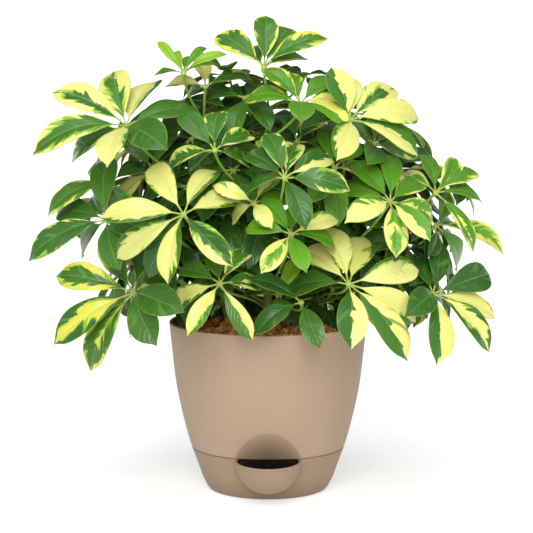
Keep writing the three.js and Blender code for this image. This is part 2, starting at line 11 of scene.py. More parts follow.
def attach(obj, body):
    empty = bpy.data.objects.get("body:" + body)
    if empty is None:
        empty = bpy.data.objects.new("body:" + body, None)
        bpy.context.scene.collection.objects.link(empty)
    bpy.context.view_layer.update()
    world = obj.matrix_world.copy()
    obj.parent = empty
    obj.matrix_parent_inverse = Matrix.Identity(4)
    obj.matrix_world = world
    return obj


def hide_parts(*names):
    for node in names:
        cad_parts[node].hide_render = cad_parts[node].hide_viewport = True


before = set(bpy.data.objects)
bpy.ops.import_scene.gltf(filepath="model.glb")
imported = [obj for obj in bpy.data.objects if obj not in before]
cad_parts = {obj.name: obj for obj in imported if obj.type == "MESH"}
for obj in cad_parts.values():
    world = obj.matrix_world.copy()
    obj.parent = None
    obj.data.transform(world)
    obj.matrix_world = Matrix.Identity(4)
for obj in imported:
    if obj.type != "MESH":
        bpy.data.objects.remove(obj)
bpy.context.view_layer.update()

# Water reservoir: a round tray injection-moulded in taupe polypropylene, with the lower half of
# a ball on its front as the filling spout. It is one moulding, satin outside, and the growing
# pot rests on its edge, so that a thin dark groove shows between them.
mm = 0.001
wall = 3
seam_height = 52
merge_within = 0.02 * mm
wall_rings = [
    (73.6, 1.9), (79.6, 14), (85, 29), (90.5, 44), (93.4, 52), (99.5, 73), (106.7, 103),
    (112.2, 132), (120, 203.5),
]


def wall_radius(height):
    """Outside radius of the tapered wall at a height: a smooth line through its rings."""
    lowest = wall_rings[0][1]
    i = max(k for k in range(len(wall_rings) - 1) if wall_rings[k][1] <= max(height, lowest))

    def slope(k):
        a, b = wall_rings[max(k - 1, 0)], wall_rings[min(k + 1, len(wall_rings) - 1)]
        return (b[0] - a[0]) / (b[1] - a[1])

    (r0, z0), (r1, z1) = wall_rings[i], wall_rings[i + 1]
    span = z1 - z0
    t = (height - z0) / span
    start = (2 * t**3 - 3 * t**2 + 1) * r0 + (t**3 - 2 * t**2 + t) * span * slope(i)
    end = (3 * t**2 - 2 * t**3) * r1 + (t**3 - t**2) * span * slope(i + 1)
    return start + end


def heights(low, high, step):
    """Evenly spaced heights between two, both of them included."""
    count = max(1, round(abs(high - low) / step))
    return [low + (high - low) * k / count for k in range(count + 1)]


def arc(centre, radius, start, end, parts):
    """Points of a round corner in the outline, from one angle to another in degrees."""
    angles = [math.radians(start + (end - start) * k / parts) for k in range(parts + 1)]
    return [(centre[0] + radius * math.cos(a), centre[1] + radius * math.sin(a)) for a in angles]


def only(body=None):
    """Deselects everything, then selects one object and makes it active."""
    bpy.ops.object.select_all(action="DESELECT")
    if body:
        body.select_set(True)
        bpy.context.view_layer.objects.active = body


def edit_all():
    """Goes into edit mode with the whole mesh selected."""
    bpy.ops.object.mode_set(mode="EDIT")
    bpy.ops.mesh.select_all(action="SELECT")


def turned(name, outline, steps, lift=(0, 0, 0)):
    """A closed round body, extruded point by point along its half outline and spun about Z."""
    only()
    bpy.ops.mesh.primitive_plane_add(size=mm)
    body = bpy.context.object
    body.name = body.data.name = name
    edit_all()
    bpy.ops.mesh.merge(type="CENTER")
    place = Vector((0, 0, 0))
    for k, (radius, height) in enumerate(outline):
        step = Vector((radius * mm, 0, height * mm)) - place
        place += step
        if k == 0:
            bpy.ops.transform.translate(value=step)
        else:
            bpy.ops.mesh.extrude_region_move(TRANSFORM_OT_translate={"value": step})
    bpy.ops.mesh.select_all(action="SELECT")
    bpy.ops.mesh.spin(steps=steps, angle=math.tau, center=(0, 0, 0), axis=(0, 0, 1))
    bpy.ops.mesh.select_all(action="SELECT")
    bpy.ops.mesh.remove_doubles(threshold=merge_within)
    bpy.ops.mesh.normals_make_consistent(inside=False)
    bpy.ops.transform.translate(value=Vector(lift) * mm)
    bpy.ops.object.mode_set(mode="OBJECT")
    return body


def carved(body, tool, kind="DIFFERENCE"):
    """Cuts another closed body out of this one, or joins it to this one."""
    cut = body.modifiers.new("carve", "BOOLEAN")
    cut.operation, cut.solver, cut.object = kind, "EXACT", tool
    only(body)
    bpy.ops.object.modifier_apply(modifier=cut.name)
    bpy.data.objects.remove(tool)


def smoothed(body, angle):
    """Smooth shading with crisp edges past an angle in degrees."""
    only(body)
    bpy.ops.object.shade_smooth_by_angle(angle=math.radians(angle))


tray_parts = 192
foot_curl = 3.6
tray_wall = [(wall_radius(z), z) for z in heights(4, 50.6, 3.3)]
tray = turned(
    "water_reservoir",
    [(0, 0), (60, 0), (69.5, 0), *arc((69.9, foot_curl), foot_curl, -80, -28, 5), *tray_wall,
     (92.75, 51.3), (92.2, 51.8), (91.5, seam_height), (0, seam_height)],
    tray_parts,
)
ball_parts = 128
ball_centre = (0, -93, 51.94)
ball_radius = 39
ball_wall = 2.5
lip = ball_wall / 2 - 0.1
bead = 1.1
bowl = [(0, -ball_radius), *arc((0, 0), ball_radius, -82, -3, 22)]
ball = turned(
    "half_ball",
    [*bowl[:-3], (ball_radius - 0.25, -4.6), (ball_radius - 0.1, -3.6), (ball_radius + 0.35, -2.9),
     *arc((ball_radius + bead - 1.55, -1.6), 1.55, -20, 90, 8), (0, -0.05)],
    ball_parts, ball_centre,
)
carved(tray, ball, "UNION")
inner_wall = [(wall_radius(z) - wall, z) for z in heights(14, 50, 4)]
tray_hollow = turned(
    "tray_hollow",
    [(0, wall), (68, wall), (71, 3.6), (72.4, 5), *inner_wall, (90.4, seam_height), (90.4, 55),
     (0, 55)],
    tray_parts,
)
carved(tray, tray_hollow)
inside_radius = ball_radius - ball_wall
mouth = inside_radius + lip
ball_hollow = turned(
    "ball_hollow",
    [(0, -inside_radius), *arc((0, 0), inside_radius, -82, -4, 22),
     *arc((mouth, -lip), lip, 180, 98, 5), (mouth - 0.1, 3), (0, 3)],
    ball_parts, ball_centre,
)
carved(tray, ball_hollow)
lip_dip = 1.3
dip_from, dip_full = 46, 50
outside_tray = 93.5
for corner in tray.data.vertices:
    x, y, z = (value / mm for value in corner.co)
    ahead = (ball_centre[1] - y) / ball_radius
    near_lip = min(1, max(0, (z - dip_from) / (dip_full - dip_from)))
    if ahead > 0 and math.hypot(x, y) > outside_tray:
        corner.co.z -= lip_dip * mm * min(1, ahead) ** 2 * near_lip
plastic_crease = 32
smoothed(tray, plastic_crease)


def put(tree, kind, inputs=None, **settings):
    """Adds a shader node. An input is a plain value or the output of another node."""
    made = tree.nodes.new("ShaderNode" + kind)
    for name, value in settings.items():
        setattr(made, name, value)
    for key, value in (inputs or {}).items():
        if isinstance(value, bpy.types.NodeSocket):
            tree.links.new(value, made.inputs[key])
        else:
            made.inputs[key].default_value = value
    return made


def sum_of(tree, operation, *values, clamp=False):
    """The result of a Math node."""
    made = put(tree, "Math", dict(enumerate(values)), operation=operation, use_clamp=clamp)
    return made.outputs[0]


def ramp(tree, value, slope, start):
    """A value times a slope plus a start, kept from 0 to 1."""
    return sum_of(tree, "MULTIPLY_ADD", value, slope, start, clamp=True)


def blended(tree, share, first, second, blend_type="MIX"):
    """Two colours mixed by a share."""
    inputs = {0: share, 6: first, 7: second}
    return put(tree, "Mix", inputs, data_type="RGBA", blend_type=blend_type).outputs[2]


def cloudy(tree, place, scale, detail=2.0, roughness=0.5):
    """The value of a Noise Texture at a place."""
    inputs = {"Vector": place, "Scale": scale, "Detail": detail, "Roughness": roughness}
    return put(tree, "TexNoise", inputs).outputs[0]


def new_finish(name, **values):
    """A new material with plain values on its shader's own sockets."""
    finish = bpy.data.materials.new(name)
    finish.use_nodes = True
    shader = finish.node_tree.nodes["Principled BSDF"]
    for socket, value in values.items():
        shader.inputs[socket.replace("_", " ")].default_value = value
    return finish, finish.node_tree, shader


def wired(tree, shader, colour, height, strength, depth, rough=None):
    """Feeds a colour, a relief and, where it varies, a roughness into a material's shader."""
    tree.links.new(colour, shader.inputs["Base Color"])
    if rough is not None:
        tree.links.new(rough, shader.inputs["Roughness"])
    relief = {"Height": height, "Strength": strength, "Distance": depth * mm}
    tree.links.new(put(tree, "Bump", relief).outputs[0], shader.inputs["Normal"])


def grain_group():
    """Moulded plastic: faint cloudy flow, a fine spark-eroded grain, and dull patches."""
    group = bpy.data.node_groups.new("moulded_grain", "ShaderNodeTree")
    for name, way in (
        ("Grain size", "INPUT"), ("Clouds", "OUTPUT"), ("Height", "OUTPUT"), ("Dull", "OUTPUT"),
    ):
        group.interface.new_socket(name=name, in_out=way, socket_type="NodeSocketFloat")
    given = group.nodes.new("NodeGroupInput")
    place = put(group, "TexCoord").outputs["Object"]
    result = group.nodes.new("NodeGroupOutput")
    for name, value in (
        ("Clouds", cloudy(group, place, 14, 3, 0.6)),
        ("Height", cloudy(group, place, given.outputs[0])),
        ("Dull", cloudy(group, place, 60, 5, 0.7)),
    ):
        group.links.new(value, result.inputs[name])
    return group


moulded_grain = grain_group()


def moulded_plastic(name, light, dark, painted_shade_below, painted_shade_within):
    """Satin taupe plastic between two close tones, with painted shade: near black where it lies
    inside the water tray or its spout, and darker near the spout's opening and towards the foot.
    """
    finish, tree, shader = new_finish(name, Specular_IOR_Level=0.2)
    grain = put(tree, "Group", {"Grain size": 1400}, node_tree=moulded_grain)
    clouds = put(tree, "MapRange", {0: grain.outputs["Clouds"], 1: 0.3, 2: 0.7}).outputs[0]
    place = put(tree, "TexCoord").outputs["Object"]
    height = put(tree, "SeparateXYZ", {0: place}).outputs[2]
    centre = tuple(value * mm for value in ball_centre)
    reach = put(tree, "VectorMath", {0: place, 1: centre}, operation="DISTANCE").outputs["Value"]

    def short_of(limit, fade, distance):
        """Nothing past a limit in millimetres, growing to 1 over the fade before it."""
        return ramp(tree, distance, -1000.0 / fade, limit / fade)

    # Painted shade: near black below a height and within a reach of the spout's centre, where the
    # plastic lies in the dark inside of the water tray.
    inner_shade = sum_of(tree, "MULTIPLY", short_of(painted_shade_below, 0.5, height),
                  short_of(painted_shade_within, 0.5, reach))
    # Painted shade: darker near the spout's opening and over the recess above it, and darker
    # towards the foot.
    recess_shade = short_of(37.2, 60, reach)
    foot_shade = short_of(25.2, 70, height)
    recess_and_foot_shade = sum_of(tree, "MAXIMUM", recess_shade, foot_shade)
    # The painted shade's colours: a dark brown, and near black inside the tray.
    shade_brown, shade_black = (0.08, 0.055, 0.034, 1), (0.012, 0.01, 0.008, 1)
    colour = blended(tree, recess_and_foot_shade, blended(tree, clouds, dark, light), shade_brown)
    colour = blended(tree, inner_shade, colour, shade_black)
    dull = put(tree, "MapRange", {0: grain.outputs["Dull"], 1: 0.3, 2: 0.7, 3: 0.44, 4: 0.58})
    wired(tree, shader, colour, grain.outputs["Height"], strength=0.2, depth=0.15,
          rough=dull.outputs[0])
    return finish


# The inside of the spout is painted near black as shade.
tray.data.materials.append(
    moulded_plastic("reservoir_plastic", (0.285, 0.2, 0.131, 1), (0.265, 0.184, 0.119, 1),
                    painted_shade_below=50.6, painted_shade_within=inside_radius + 0.9)
)
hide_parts("reservoir")
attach(tray, "root")

# Growing pot: a tapered shell of the same plastic in a lighter tone, with a thin rounded rim.
# Its front is flattened over the spout, under an arched edge. Inside, its floor has drain holes
# and a slotted leg through which the soil draws up water.
rim_height = 205
rim_radius = 120
rim_curl = 1.5
skirt = 86
pot_floor = 40
wick_foot = 6
wick_outline = [(0, wick_foot), (24, wick_foot), (30, pot_floor)]
outer_wall = [(wall_radius(z), z) for z in [*heights(54, 92, 1.7), *heights(97, 203.5, 6.2)]]
rim = (rim_radius - rim_curl, rim_height - rim_curl)
pot_parts = 256
pot = turned(
    "growing_pot",
    [*wick_outline, (82, pot_floor), (skirt, pot_floor + 4), (skirt, 52.3), (91.6, 52.3),
     (92.7, 52.55), (93.5, 53.1), *outer_wall, *arc(rim, rim_curl, 15, 90, 6), (0, rim_height)],
    pot_parts,
)
pot_hollow = turned(
    "pot_hollow",
    [(0, 9), (21, 9), (27, 43), (79, 43), (83, 47), (83, 52), (90, 62.5),
     *[(wall_radius(z) - wall, z) for z in heights(73, 202, 6)],
     *arc(rim, rim_curl, 175, 98, 7), (rim[0] - 0.2, 212), (0, 212)],
    pot_parts,
)
panel_foot, panel_head = (84.4, 52), (101, 83)
panel_lean = math.atan2(panel_head[0] - panel_foot[0], panel_head[1] - panel_foot[1])


def panel_tool(setback):
    """A block whose back face lies on the leaning front panel, or behind it by a setback."""
    only()
    bpy.ops.mesh.primitive_cube_add(size=mm, scale=(240, 80, 120))
    block = bpy.context.object
    edit_all()
    bpy.ops.transform.translate(value=(0, -40 * mm, 20 * mm))
    bpy.ops.object.mode_set(mode="OBJECT")
    block.rotation_euler.x = panel_lean
    ahead = panel_foot[0] - setback / math.cos(panel_lean)
    block.location = Vector((0, -ahead, panel_foot[1])) * mm
    bpy.ops.object.transform_apply()
    return block


def creased(body, angle):
    """Keeps the arched edge of the front panel crisp on a smoothly shaded body."""
    smoothed(body, angle)
    facing = Vector((0, -math.cos(panel_lean), -math.sin(panel_lean)))
    beside = {}
    for side in body.data.polygons:
        for key in side.edge_keys:
            beside.setdefault(key, []).append(side.normal.dot(facing))
    for edge in body.data.edges:
        on_panel, off_panel = max(beside[edge.key]) > 0.9995, min(beside[edge.key]) < 0.998
        edge.use_edge_sharp = edge.use_edge_sharp or (on_panel and off_panel)


carved(pot, panel_tool(0))
carved(pot_hollow, panel_tool(wall))
carved(pot, pot_hollow)


def around(reach, angle, height):
    """A place about the pot's axis, in metres."""
    return (reach * mm * math.cos(angle), reach * mm * math.sin(angle), height * mm)


openings = []
for k in range(4):
    turn = k * math.pi / 2
    only()
    bpy.ops.mesh.primitive_cube_add(
        size=mm, location=around(25, turn, 24), rotation=(0, 0, turn), scale=(16, 4, 18))
    bpy.ops.object.transform_apply()
    openings.append(bpy.context.object)
    only()
    bpy.ops.mesh.primitive_cylinder_add(
        vertices=24, radius=3 * mm, depth=8 * mm, location=around(58, turn + math.pi / 4, 41))
    bpy.ops.object.transform_apply()
    openings.append(bpy.context.object)
only(openings[0])
for opening in openings:
    opening.select_set(True)
bpy.ops.object.join()
carved(pot, openings[0])
creased(pot, plastic_crease)
# The pot's foot, which stands inside the water tray, is painted near black as shade.
pot.data.materials.append(
    moulded_plastic("pot_plastic", (0.35, 0.25, 0.17, 1), (0.33, 0.234, 0.158, 1),
                    painted_shade_below=52.2, painted_shade_within=400)
)
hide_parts("pot")
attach(pot, "root")

# Soil: a damp mix of bark and coconut coir that fills the pot and its leg. It is heaped in
# soft clods, and lighter chips and loose brown fibres lie on top.
soil_edge = wall + 0.3
soil_top = 193
soil_reach = 114
soil_heap = 6
stem_feet = [(1, -12), (-48, 32), (50, 28), (5, 66)]
stem_hole = 5.3
soil_wall = [(wall_radius(z) - soil_edge, z) for z in heights(73, 185, 7)]
face_rings = [1 - k / 46 for k in range(1, 46)]
soil_face = [(soil_reach * ring, soil_top + soil_heap * (1 - ring**2)) for ring in face_rings]
soil_outline = [
    (0, 9.3), (20.7, 9.3), (26.7, 44), (78, 43.3), (82.7, 47.3), (82.7, seam_height), *soil_wall,
    (soil_reach, soil_top - 1), *soil_face, (0, soil_top + soil_heap),
]
soil = turned("potting_soil", soil_outline, 168)
carved(soil, panel_tool(soil_edge))


def clods(x, y):
    """Height of the soil's clods and crumbs at a place in the pot, in millimetres."""
    lump = math.sin(x * 0.31 + 1.7 * math.sin(y * 0.23)) + math.sin(y * 0.37 + x * 0.11)
    coarse = noise.noise(Vector((x * 0.075, y * 0.075, 3)))
    crumbs = noise.fractal(Vector((x * 0.22, y * 0.22, 7)), 0.9, 2.1, 4)
    return 1.1 * lump + 2.6 * coarse + 2.2 * crumbs


clods_within = 112.5
for corner in soil.data.vertices:
    x, y, z = corner.co / mm
    if z > soil_top - 0.5 and math.hypot(x, y) < clods_within:
        corner.co.z += clods(x, y) * mm
for x, y in stem_feet:
    only()
    bpy.ops.mesh.primitive_cylinder_add(
        vertices=20, radius=stem_hole * mm, depth=60 * mm, location=(x * mm, y * mm, 189.7 * mm))
    bpy.ops.object.transform_apply()
    carved(soil, bpy.context.object)
smoothed(soil, 60)
soil_ground = BVHTree.FromObject(soil, bpy.context.evaluated_depsgraph_get())
in_stem_hole = 180


def soil_at(x, y):
    """Height of the finished soil at a place, in millimetres."""
    hit = soil_ground.ray_cast(Vector((x * mm, y * mm, 0.3)), Vector((0, 0, -1)))[0]
    return hit.z / mm if hit and hit.z / mm > in_stem_hole else soil_top


def coir_finish(name, dark, light, scale, bump):
    """Fibrous matter: streaky browns with a rough, crumbled surface."""
    finish, tree, shader = new_finish(name, Roughness=0.92, Specular_IOR_Level=0.2)
    place = put(tree, "TexCoord").outputs["Object"]
    broad, fine = cloudy(tree, place, scale, 4, 0.65), cloudy(tree, place, scale * 9, 4)
    both = sum_of(tree, "ADD", broad, fine)
    share = put(tree, "MapRange", {0: both, 1: 0.92, 2: 1.15}).outputs[0]
    tone = put(tree, "Attribute", attribute_name="tone").outputs["Fac"]
    colour = blended(tree, share, dark, light)
    colour = blended(tree, tone, colour, light, "SCREEN")
    wired(tree, shader, colour, both, strength=0.8, depth=bump)
    return finish


soil.data.materials.append(
    coir_finish("soil_mix", (0.012, 0.005, 0.002, 1), (0.85, 0.33, 0.08, 1), 130, 2.4))
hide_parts("soil")
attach(soil, "root")


def placed(name, data):
    """A new object in the scene for a mesh or a curve."""
    piece = bpy.data.objects.new(name, data)
    bpy.context.collection.objects.link(piece)
    return piece


def many(name, shape, places, finish, tones):
    """One piece from copies of a small closed shape, each with its own place and tone."""
    corners = np.array([v.co[:] for v in shape.data.vertices])
    sides = [tuple(p.vertices) for p in shape.data.polygons]
    points, faces = [], []
    for k, place in enumerate(places):
        turn = np.array(place)
        points.append(corners @ turn[:3, :3].T + turn[:3, 3])
        faces.extend(tuple(i + k * len(corners) for i in side) for side in sides)
    mesh = bpy.data.meshes.new(name)
    mesh.from_pydata(np.concatenate(points).tolist(), [], faces)
    tone = mesh.attributes.new("tone", "FLOAT", "POINT")
    tone.data.foreach_set("value", np.repeat(tones, len(corners)))
    bpy.data.objects.remove(shape)
    piece = placed(name, mesh)
    mesh.materials.append(finish)
    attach(piece, "root")


draw = random.Random(11)


def scattered(reach):
    """A random place on the soil, up to a distance from the pot's axis."""
    far, angle = reach * math.sqrt(draw.random()), draw.uniform(0, math.tau)
    return far * math.cos(angle), far * math.sin(angle)


only()
bpy.ops.mesh.primitive_cube_add(size=2)
edit_all()
bpy.ops.mesh.subdivide(number_cuts=1)
bpy.ops.transform.vertex_random(offset=0.22, seed=5)
bpy.ops.object.mode_set(mode="OBJECT")
chip = bpy.context.object
for corner in chip.data.vertices:
    corner.co *= 1.25 / max(corner.co.length, 1)
chip_count = 460
clear_of_stem = 11
chip_places, chip_tones = [], []
while len(chip_places) < chip_count:
    x, y = scattered(109)
    if min(math.hypot(x - a, y - b) for a, b in stem_feet) < clear_of_stem:
        continue
    size = draw.uniform(1.4, 5.6)
    flat = draw.uniform(0.3, 0.75)
    turn = Matrix.Rotation(draw.uniform(0, math.tau), 4, "Z")
    tilt = Matrix.Rotation(draw.gauss(0, 0.35), 4, "X")
    tilt @= Matrix.Rotation(draw.gauss(0, 0.3), 4, "Y")
    broad = draw.uniform(0.5, 0.9)
    stretch = Matrix.Diagonal((size * mm, size * broad * mm, size * flat * mm, 1))
    place = Vector((x, y, soil_at(x, y) + 0.25 * size * flat)) * mm
    chip_places.append(Matrix.Translation(place) @ (turn @ tilt) @ stretch)
    chip_tones.append(draw.uniform(0, 0.55) ** 1.5)
many("bark_chips", chip, chip_places,
     coir_finish("bark", (0.02, 0.009, 0.004, 1), (0.95, 0.4, 0.12, 1), 170, 0.8), chip_tones)

# Loose coir fibres: thin stiff hairs of coconut husk that come out of the mix. They lie tangled
# over the clods, bent at random, with both ends in the soil.
fibre_count = 1150
fibre_limit = 112


def new_line(name, resolution):
    """A curve for round strands, which takes their radii in millimetres."""
    line = bpy.data.curves.new(name, "CURVE")
    line.dimensions = "3D"
    line.bevel_depth = mm
    line.bevel_resolution = resolution
    line.use_fill_caps = True
    return line


def strand(line, points, radii, material=0):
    """Adds one strand to a curve, through points in millimetres."""
    run = line.splines.new("POLY")
    run.points.add(len(points) - 1)
    run.material_index = material
    for knot, point, radius in zip(run.points, points, radii):
        knot.co = (*(np.array(point) * mm), 1)
        knot.radius = radius


def made_mesh(piece, merge=0.0):
    """Turns a curve piece into a mesh with its normals outwards."""
    only(piece)
    bpy.ops.object.convert(target="MESH")
    edit_all()
    if merge:
        bpy.ops.mesh.remove_doubles(threshold=merge)
    bpy.ops.mesh.normals_make_consistent(inside=False)
    bpy.ops.object.mode_set(mode="OBJECT")


fibre_line = new_line("coir_fibres", 0)
for k in range(fibre_count):
    x, y = scattered(108)
    heading, bend = draw.uniform(0, math.tau), draw.gauss(0, 0.25)
    lift = draw.uniform(0.2, 2.4)
    step = draw.uniform(2, 4.4)
    thick = draw.uniform(0.18, 0.42)
    knots = []
    for i in range(6):
        if math.hypot(x, y) > fibre_limit:
            x, y = x * 0.97, y * 0.97
        hop = lift * math.sin(math.pi * (i + 0.3) / 5.6)
        knots.append((x, y, soil_at(x, y) + hop))
        heading += bend + draw.gauss(0, 0.12)
        x += step * math.cos(heading)
        y += step * math.sin(heading)
    strand(fibre_line, knots, [0.5 * thick, thick, thick, thick, thick, 0.5 * thick])
fibres = placed("coir_fibres", fibre_line)
made_mesh(fibres, 0.005 * mm)
fibres.data.materials.append(
    coir_finish("coir_fibre", (0.2, 0.08, 0.025, 1), (0.7, 0.37, 0.14, 1), 90, 0.1))
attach(fibres, "root")

# Leaf whorls: each umbrella is a small green hub with 4 to 8 leaflets on short stalks of their
# own. The frame's plain leaflets give each one's place, length and arch. The fine leaflet is
# a thin waxy blade, folded along a sunken midrib, with a slightly waved edge and a drip tip.
rows = [
    0.02, 0.05, 0.085, 0.115, 0.135, 0.16, 0.195, 0.24, 0.295, 0.36, 0.43, 0.505, 0.58, 0.655,
    0.725, 0.79, 0.848, 0.896, 0.935, 0.963, 0.983, 1,
]
columns = [-1, -0.78, -0.45, -0.1, 0, 0.1, 0.45, 0.78, 1]
blade_start = 0.135
blade_outline = [
    (0, 0.05), (0.04, 0.15), (0.1, 0.32), (0.18, 0.53), (0.28, 0.75), (0.38, 0.89), (0.48, 0.97),
    (0.57, 1), (0.66, 0.98), (0.74, 0.91), (0.81, 0.79), (0.87, 0.62), (0.91, 0.43),
    (0.94, 0.26), (0.965, 0.14), (1, 0.03),
]
only()
bpy.ops.mesh.primitive_grid_add(
    x_subdivisions=len(rows) - 1, y_subdivisions=len(columns) - 1, size=2)
edit_all()
bpy.ops.mesh.extrude_region_move(TRANSFORM_OT_translate={"value": (0, 0, 1)})
bpy.ops.mesh.select_all(action="SELECT")
bpy.ops.mesh.normals_make_consistent(inside=False)
bpy.ops.object.mode_set(mode="OBJECT")
sheet = bpy.context.object
sheet_corners = np.array([v.co[:] for v in sheet.data.vertices])
sheet_faces = np.array([p.vertices[:] for p in sheet.data.polygons])
row_of = np.rint((sheet_corners[:, 0] + 1) / 2 * (len(rows) - 1)).astype(int)
column_of = np.rint((sheet_corners[:, 1] + 1) / 2 * (len(columns) - 1)).astype(int)
along = np.array(rows)[row_of]
across = np.array(columns)[column_of]
is_top = sheet_corners[:, 2] > 0.5
blade_share = (along - blade_start) / (1 - blade_start)
bpy.data.objects.remove(sheet)
bpy.ops.mesh.primitive_uv_sphere_add(segments=14, ring_count=8, radius=1)
hub_ball = bpy.context.object
hub_corners = np.array([v.co[:] for v in hub_ball.data.vertices])
hub_faces = [tuple(p.vertices) for p in hub_ball.data.polygons]
hub_size = (3.7, 3.7, 2.5)
bpy.data.objects.remove(hub_ball)
plain_hub_rise, plain_hub_reach = 2.4, 4.4
plain_widest, plain_half = 0.46, 0.19
plain_fold = math.radians(16)


def whorl_of(node):
    """Hub, axis and leaflets of one plain whorl: each leaflet's tip, side, arch and width."""
    plain = placed("plain_whorl", node.data.copy())
    only(plain)
    edit_all()
    bpy.ops.mesh.remove_doubles(threshold=merge_within)
    bpy.ops.object.mode_set(mode="OBJECT")
    points = np.array([v.co[:] for v in plain.data.vertices]) / mm
    near = [set() for _ in points]
    for edge in plain.data.edges:
        a, b = edge.vertices
        near[a].add(b)
        near[b].add(a)
    bpy.data.objects.remove(plain)
    for dome in sorted(range(len(points)), key=lambda i: -len(near[i])):
        ring = points[sorted(near[dome])]
        middle = ring.mean(axis=0)
        axis = np.linalg.svd(ring - middle)[2][2]
        rise = (points[dome] - middle) @ axis
        if abs(rise) > 0.5 and np.ptp(ring @ axis) < 0.1:
            break
    axis *= np.sign(rise)
    hub = points[dome] - axis * plain_hub_rise
    on_hub = norm(points - hub, axis=1) < plain_hub_reach
    leaflets, seen = [], set(np.flatnonzero(on_hub))
    for first in range(len(points)):
        if first in seen:
            continue
        group, waiting = [], [first]
        seen.add(first)
        while waiting:
            corner = waiting.pop()
            group.append(corner)
            for other in near[corner] - seen:
                seen.add(other)
                waiting.append(other)
        own = points[group]
        tip = own[np.argmax(norm(own - hub, axis=1))]
        chord = tip - hub
        share = (own - hub) @ chord / (chord @ chord)
        middle = own[np.abs(share - plain_widest) < 0.06]
        spread = norm(middle[:, None] - middle[None], axis=2)
        left, right = np.unravel_index(np.argmax(spread), spread.shape)
        half = spread.max() / 2 / math.cos(plain_fold)
        side = (middle[left] - middle[right]) / spread.max()
        length = norm(chord)
        up = np.cross(chord / length, side)
        if up @ axis < 0:
            side, up = -side, -up
        spine = (middle[left] + middle[right]) / 2 - hub - up * half * math.sin(plain_fold)
        arch = (spine @ up) / (4 * plain_widest * (1 - plain_widest) * length)
        leaflets.append((chord, side, up, arch, half / plain_half))
    return hub, axis, leaflets


def blade_points(hub, chord, side, up, arch, breadth, luck):
    """Places of the fine leaflet's corners, in millimetres: a round stalk that turns into a blade.

    The blade is folded up from its midrib and curls down at its edge, each half waves on its own,
    and the tip hangs. The arch is that of the plain leaflet, or more where it is seen from beside.
    """
    length = norm(chord)
    u = np.clip(blade_share, 0, 1)
    shape = np.interp(u ** luck.uniform(0.94, 1.1), *zip(*blade_outline))
    stalk = 1.05 + 0.75 * np.clip(1 - along / 0.05, 0, 1) + 0.25 * np.clip(along / 0.12 - 0.7, 0, 1)
    flat = np.clip((along - 0.11) / 0.06, 0, 1)
    flat = flat * flat * (3 - 2 * flat)
    half = np.maximum(0.188 * breadth * luck.uniform(0.93, 1.05) * shape, 1.15 * (1 - flat))
    edge = np.abs(across)
    fold = math.sin(math.radians(luck.uniform(10, 17)))
    lift = half * (fold * edge - luck.uniform(0.06, 0.16) * edge**3)
    for way in (-1, 1):
        turns, start, size = luck.uniform(1.2, 2.3), luck.uniform(0, 1), luck.uniform(0.2, 1.1)
        swell = np.sin(2 * np.pi * (turns * u + start)) * np.sin(np.pi * u) * size
        lift = lift + np.where(across * way > 0, swell * edge**2, 0)
    groove = np.clip(1 - edge / 0.1, 0, 1) * np.sin(np.pi * np.clip(u, 0, 0.96) ** 0.6)
    skin = np.where(is_top, 0.26 - 0.3 * groove, -0.26 - 0.95 * groove * (1 - 0.65 * u))
    blade_side, blade_up = half * across, lift + skin
    turn = across * np.pi / 2
    round_side, round_up = stalk * np.sin(turn), stalk * np.cos(turn) * np.where(is_top, 1, -1)
    out = blade_side * flat + round_side * (1 - flat)
    raised = blade_up * flat + round_up * (1 - flat)
    arch = arch + 0.13 * np.clip(abs(chord[0]) / length - 0.5, 0, 0.5)
    bow = length * 4 * along * (1 - along)
    raised = raised + arch * bow
    raised = raised - luck.uniform(0.8, 3.2) * np.clip((u - 0.8) / 0.2, 0, 1) ** 2
    out = out + luck.uniform(-0.008, 0.008) * bow
    return hub + np.outer(along, chord) + np.outer(out, side) + np.outer(raised, up)


# How much of each half blade is green, as shares from the midrib to the edge: inner and outer
# limit of the left half, then of the right half, looking from the hub to the tip.
none = (3, 3)
whole = (-1, 2)
green_spans = {
    "g": (*whole, *whole), "v": (*whole, *whole), "y": (*whole, *whole),
    "n": (-1, 0.97, -1, 0.97), "m": (-1, 0.86, -1, 0.88), "M": (-1, 0.64, -1, 0.7),
    "h": (-1, 0.36, -1, 0.3), "c": (1.12, 2, 1.15, 2), "i": (0.58, 2, 0.62, 2),
    "j": (0.86, 2, 0.84, 2), "s": (0.17, 0.86, 0.12, 0.88), "l": (*whole, *none),
    "r": (*none, *whole), "a": (0.66, 2, *none), "b": (*none, 0.68, 2),
    "p": (-1, 0.97, -1, 0.5), "q": (-1, 0.5, -1, 0.97),
}
# Whorls 1 to 27 are seen in front, those up to 43 stand at the sides and the back, and the rest
# of the frame's 52 inside.
outer_whorls = 43
frame_whorls = 52
